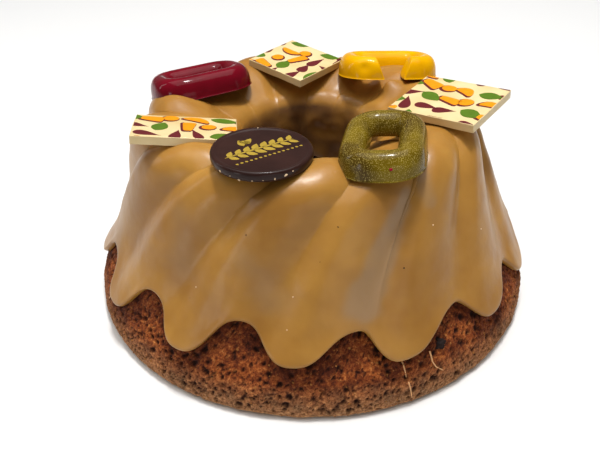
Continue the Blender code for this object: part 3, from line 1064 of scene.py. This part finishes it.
def plaque_print(name, seed):
    """A transfer print of leaves, beans and wedges in three inks, run off over the edges."""
    draw = random.Random(seed)
    bm = bmesh.new()
    half_x, half_y = (side / 2 - PRINT_MARGIN for side in PLAQUE_SIDES[name])
    kinds = ("leaf", "bean", "wedge", "block", "leaf", "wedge", "oval", "wedge")
    count = 0
    for row in range(-2, 3):
        for column in range(-3, 4):
            stagger = 0.5 * PRINT_STEP if row % 2 else 0.0
            x = column * PRINT_STEP + stagger + draw.uniform(-1.4, 1.4) * MM
            y = row * PRINT_STEP * 0.95 + draw.uniform(-1.0, 1.0) * MM
            kind = kinds[(count * 3 + row) % len(kinds)]
            count += 1
            turn = draw.uniform(-0.5, 0.5) + (math.pi / 2 if draw.random() < 0.25 else 0.0)
            long, wide = draw.uniform(7.8, 10.4) * MM, draw.uniform(4.2, 5.6) * MM
            if kind == "leaf":
                motif(bm, kind, (x, y), long, wide, 1.0, 0, turn)
            elif kind == "wedge":
                motif(bm, kind, (x, y), long, wide * 1.3, 0.8, 2, turn)
            else:
                if kind == "oval":
                    long *= 0.6
                shade = (x - 0.4 * MM, y - 0.5 * MM)
                motif(bm, kind, shade, long + 1.2 * MM, wide + 1.1 * MM, 0.7, 2, turn)
                motif(bm, kind, (x, y), long, wide, 1.2, 1, turn)
    trimmed(bm, half_x, half_y)
    bmesh.ops.translate(bm, vec=(0.0, 0.0, PLAQUE_THICKNESS), verts=bm.verts)
    obj = object_of(name + "_print", bm, [INK_GREEN, INK_ORANGE, INK_MAROON], smooth=False)
    obj.data.transform(spot_of(name))
    carry(obj, name)


def disc_print():
    """A gold sprig with paired leaves and a row of dots under it, rising to the right."""
    bm = bmesh.new()
    rise = math.radians(34.0)
    along = Vector((math.cos(rise), math.sin(rise)))
    across = Vector((-math.sin(rise), math.cos(rise)))
    middle = Vector((-0.6, 0.9)) * MM

    def spot(run, side):
        return middle + along * run * MM + across * side * MM

    motif(bm, "bean", spot(0.0, 0.2), 26 * MM, 1.1 * MM, 1.0, 0, rise)
    for k in range(8):
        run = -11.4 + 3.2 * k
        size = 1.0 - 0.05 * abs(k - 3.5)
        for side in (-1.0, 1.0):
            spray = spot(run + 1.0, side * 1.9 * size)
            motif(bm, "leaf", spray, 4.4 * size * MM, 2.0 * size * MM, 1.0, 0, rise + side * 0.85)
    for k in range(15):
        motif(bm, "oval", spot(-11.6 + 1.7 * k, -5.6), 1.0 * MM, 0.8 * MM, 1.0, 0)
    for k in range(3):
        lean = rise + (0.0, 0.9, -0.9)[k]
        motif(bm, "leaf", spot(-3.4 + 1.3 * k, 6.6), 4.4 * MM, 2.0 * MM, 1.0, 0, lean + 1.5)
    bmesh.ops.translate(bm, vec=(0.0, 0.0, DISC_THICKNESS - DISC_SUNK), verts=bm.verts)
    obj = object_of("disc_print", bm, [GOLD], smooth=False)
    obj.data.transform(spot_of("disc"))
    carry(obj, "disc")


def seen_at(x, y, trees):
    """The nearest surface that the camera sees at a pixel of the photograph: spot and normal."""
    ahead = LENS / SENSOR * PHOTO_WIDTH
    across = x - PHOTO_WIDTH * (0.5 - SHIFT[0])
    upward = PHOTO_HEIGHT / 2 + PHOTO_WIDTH * SHIFT[1] - y
    ray = (TURN @ Vector((across, upward, -ahead))).normalized()
    hits = [tree.ray_cast(CAMERA_PLACE, ray) for tree in trees]
    hits = [hit for hit in hits if hit[0] is not None]
    if not hits:
        return None
    spot, normal, _, _ = min(hits, key=lambda hit: hit[3])
    return spot, normal


def tree_of(obj):
    return BVHTree.FromObject(obj, bpy.context.evaluated_depsgraph_get())


def bit(bm, spot, normal, size, draw, flat=0.7):
    """One crumb: a small irregular lump of 20 faces set on a surface."""
    made = bmesh.ops.create_icosphere(bm, subdivisions=1, radius=1.0)["verts"]
    for vert in made:
        vert.co *= draw.uniform(0.75, 1.25)
    turn = normal.to_track_quat("Z", "Y").to_matrix().to_4x4()
    turn = turn @ Matrix.Rotation(draw.uniform(0.0, 6.28), 4, "Z")
    scale = Matrix.Diagonal((size * draw.uniform(0.8, 1.5), size, size * flat, 1.0))
    bmesh.ops.transform(bm, matrix=Matrix.Translation(spot) @ turn @ scale, verts=made)


CRUMB_COUNT = 620
# The smallest crumb's size and how much larger one may be, in mm.
CRUMB_SMALLEST, CRUMB_MORE = 0.14, 0.34


def scattered_crumbs(sponge_tree):
    """Torn bits that stand off the sponge band and the foot, more of them low down."""
    draw = random.Random(11)
    bm = bmesh.new()
    for _ in range(CRUMB_COUNT):
        turn = draw.uniform(0.0, len(FLUTES))
        edge = ends_at(round(turn * 20) / 20)[0] - 0.35
        station = draw.uniform(0.5, edge)
        point, normal, _ = sponge_frame(turn, station)
        hit = sponge_tree.ray_cast(point + normal * 4 * MM, -normal)
        if hit[0] is None or hit[1].dot(normal) < 0.3:
            continue
        size = (CRUMB_SMALLEST + CRUMB_MORE * draw.random() ** 2) * MM
        bit(bm, hit[0], normal, size, draw)
    carry(object_of("crumb_bits", bm, [BITS]))


# Where the camera sees each small thing, in pixels from the picture's left and top. A speck or
# a chip also has its size in mm.
# The dark specks stand at pinholes in the glaze: their near black is painted shade of the pinholes.
PINHOLE_SHADE_SPECKS = ((404, 268, 0.3), (338, 227, 0.22), (246, 235, 0.22), (190, 298, 0.15), (320, 262, 0.14))
PALE_SPECKS = ((433, 225, 0.3), (481, 229, 0.3), (293, 297, 0.25), (196, 287, 0.3), (287, 330, 0.2))
THREADS = (
    ((402, 361), (405, 371), (407, 379)),
    ((408.5, 382), (411, 391), (412, 399)),
    ((429.5, 351), (432, 361), (436, 367), (445, 371)),
    ((119, 288), (114, 292), (108, 300)),
)
THREAD_RADIUS, THREAD_LIFT = 0.3 * MM, 0.2 * MM
RAISIN = (439, 343)
RAISIN_SIZE = (2.2 * MM, 1.8 * MM, 0.8 * MM)
RED_FLECK = ((391, 169.5, 0.55),)
DISC_CHIPS = (
    (220, 171, 0.42),
    (239, 180, 0.36),
    (252, 181, 0.26),
    (263, 180.5, 0.2),
    (275, 179, 0.32),
    (286, 175, 0.42),
    (230, 176, 0.22),
    (293, 171, 0.24),
    (274, 127, 0.26),
    (258, 128, 0.2),
)


def specks(name, spots, material, trees):
    draw = random.Random(5)
    bm = bmesh.new()
    for x, y, size in spots:
        found = seen_at(x, y, trees)
        if found:
            bit(bm, found[0], found[1], size * MM, draw, 0.5)
    carry(object_of(name, bm, [material]))


def thin_threads(trees):
    """Pale dried threads of sugar on the band."""
    bm = bmesh.new()
    for path in THREADS:
        spots = []
        for (x0, y0), (x1, y1) in zip(path, path[1:]):
            for k in range(5):
                found = seen_at(x0 + (x1 - x0) * k / 4, y0 + (y1 - y0) * k / 4, trees)
                if found:
                    spots.append(found[0] + found[1] * THREAD_LIFT)
        smooth = [spots[0]]
        for before, here, after in zip(spots, spots[1:], spots[2:]):
            smooth.append((before + here + after) / 3)
        rings = []
        for k, spot in enumerate(smooth):
            ahead = (smooth[min(k + 1, len(smooth) - 1)] - smooth[max(k - 1, 0)]).normalized()
            turn = ahead.to_track_quat("Z", "Y").to_matrix().to_4x4()
            # Each thread thins towards its lower end.
            radius = THREAD_RADIUS * (1.0 - 0.4 * k / len(smooth))
            ring = bmesh.ops.create_circle(
                bm,
                radius=radius,
                segments=6,
                matrix=Matrix.Translation(spot) @ turn,
                cap_ends=k in (0, len(smooth) - 1),
            )["verts"]
            rings.append(list({e for v in ring for e in v.link_edges}))
        for lower, upper in zip(rings, rings[1:]):
            bmesh.ops.bridge_loops(bm, edges=lower + upper)
    bmesh.ops.recalc_face_normals(bm, faces=bm.faces)
    carry(object_of("sugar_threads", bm, [THREAD]))


def raisin(trees):
    spot, normal = seen_at(*RAISIN, trees)
    bm = bmesh.new()
    bmesh.ops.create_icosphere(bm, subdivisions=4, radius=1.0)
    for vert in bm.verts:
        crease = noise.ridged_multi_fractal(vert.co * 1.6, 0.9, 2.0, 3, 1.0, 2.0)
        vert.co *= 1.0 + 0.4 * (crease - 1.0) + 0.35 * noise.noise(vert.co * 1.9)
    turn = normal.to_track_quat("Z", "Y").to_matrix().to_4x4()
    scale = Matrix.Diagonal((*RAISIN_SIZE, 1.0))
    bmesh.ops.transform(bm, matrix=Matrix.Translation(spot) @ turn @ scale, verts=bm.verts)
    carry(object_of("raisin", bm, [FRUIT]))


# Everything

SPONGE = make_sponge_crumb()
GLAZE = make_glaze()
FLOOR = make_floor_paint()
DARK = make_coloured_chocolate("polished_dark_chocolate", "331D18", "281612", 0.3, 0.16)
CREAM = make_coloured_chocolate("moulded_white_chocolate", "DCC595", "CFB680", 0.3, 0.3)
GREEN = make_coloured_chocolate(
    "green_chocolate_gold_dust", "74600F", "483608", 0.18, 0.13, "E8CF70"
)
RED = make_coloured_chocolate("crimson_chocolate", "6E081A", "5A0612", 0.14, 0.12)
YELLOW = make_coloured_chocolate("yellow_chocolate", "E2A800", "D49600", 0.2, 0.08)
INK_GREEN = make_plain("green_cocoa_butter_ink", "4F6C18", 0.35)
INK_ORANGE = make_plain("orange_cocoa_butter_ink", "DD8A0A", 0.35)
INK_MAROON = make_plain("maroon_cocoa_butter_ink", "5E1C20", 0.35)
GOLD = make_plain("gold_powder_ink", "B89A3A", 0.4, 0.4)
BITS = make_plain("loose_crumb", "96602F", 0.9)
THREAD = make_plain("dried_sugar_thread", "DDA873", 0.5)
# Near black for the glaze's pinholes: painted shade.
PINHOLE_SHADE = make_plain("pinhole_shade_speck", "241510", 0.6)
PALE = make_plain("pale_crumb", "E2C39C", 0.6)
FRUIT = make_plain("raisin_skin", "1E120E", 0.7)
FLECK = make_plain("crimson_fleck", "8E0A22", 0.3)

TURN = make_camera()
make_studio()
sponge = make_sponge()
glaze = make_glaze_coat()
bed = make_bed()
disc = make_disc(bed)
for number, plaque in enumerate(PLAQUE_SIDES):
    make_plaque(plaque, bed)
    plaque_print(plaque, 20 + number)
disc_print()
green = make_link("link_green", GREEN, bed)
make_link("link_red", RED, bed)
make_link("link_yellow", YELLOW, bed, gap=LINK_BREAK)
bpy.data.objects.remove(bed)

sponge_tree, glaze_tree = tree_of(sponge), tree_of(glaze)
on_cake = [sponge_tree, glaze_tree]
scattered_crumbs(sponge_tree)
specks("pinhole_shade_specks", PINHOLE_SHADE_SPECKS, PINHOLE_SHADE, on_cake)
specks("pale_specks", PALE_SPECKS, PALE, on_cake)
specks("disc_chips", DISC_CHIPS, PALE, [tree_of(disc)])
specks("red_fleck", RED_FLECK, FLECK, [tree_of(green)])
thin_threads([sponge_tree])
raisin([sponge_tree])

bpy.context.scene.view_settings.view_transform = "Standard"
[[list(corner) for corner in box] for box in (CAD_BOX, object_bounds())]
